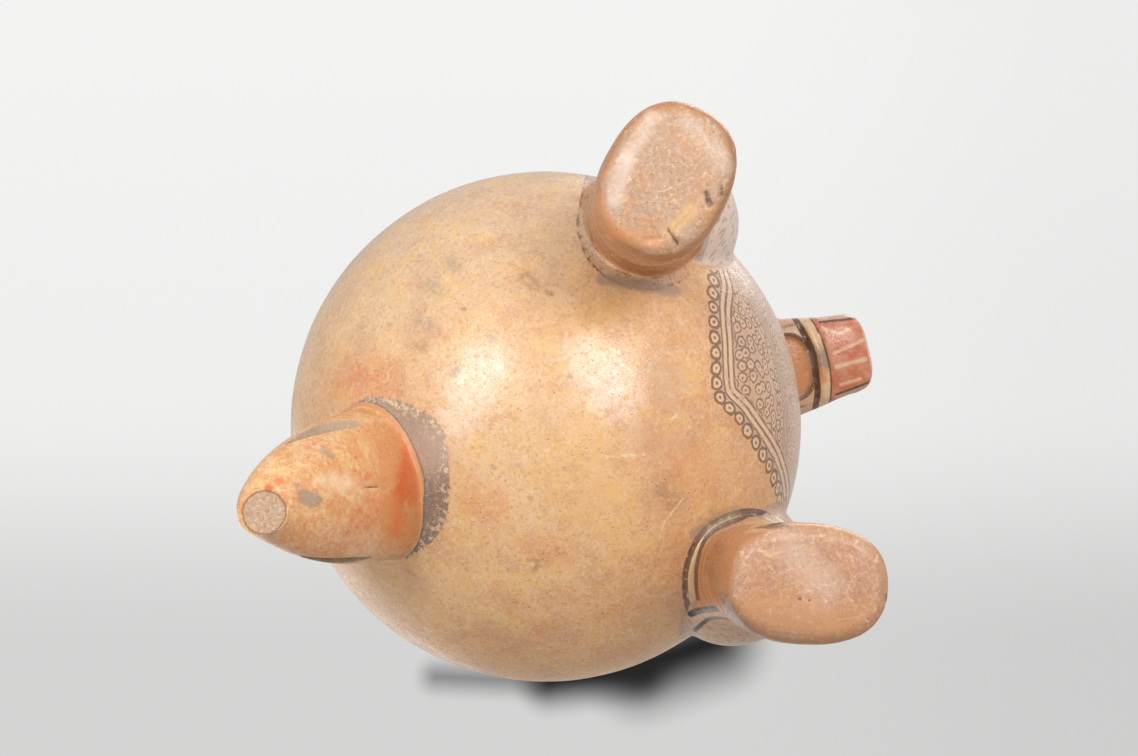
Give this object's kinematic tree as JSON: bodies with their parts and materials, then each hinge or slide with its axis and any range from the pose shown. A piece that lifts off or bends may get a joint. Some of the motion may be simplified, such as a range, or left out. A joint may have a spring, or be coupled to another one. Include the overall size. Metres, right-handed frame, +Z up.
{
  "type": "zoomorphic vessel",
  "caption": "Pear-shaped painted clay jar with a spotted cat's head and forelimbs in relief, standing on its front feet and a hollow tail foot.",
  "frame": {"origin": "centre of the whole vessel's outline seen from above, on the floor that its three feet stand on", "axes": "+Z up along the jar's axis; the cat's head faces -Y, the tail foot is at +Y and the cat's left side is +X"},
  "size_m": [0.2355, 0.2872, 0.34],
  "materials": {
    "painted_clay": "satin"
  },
  "bodies": {
    "root": {"vessel": "painted_clay"}
  },
  "joints": []
}
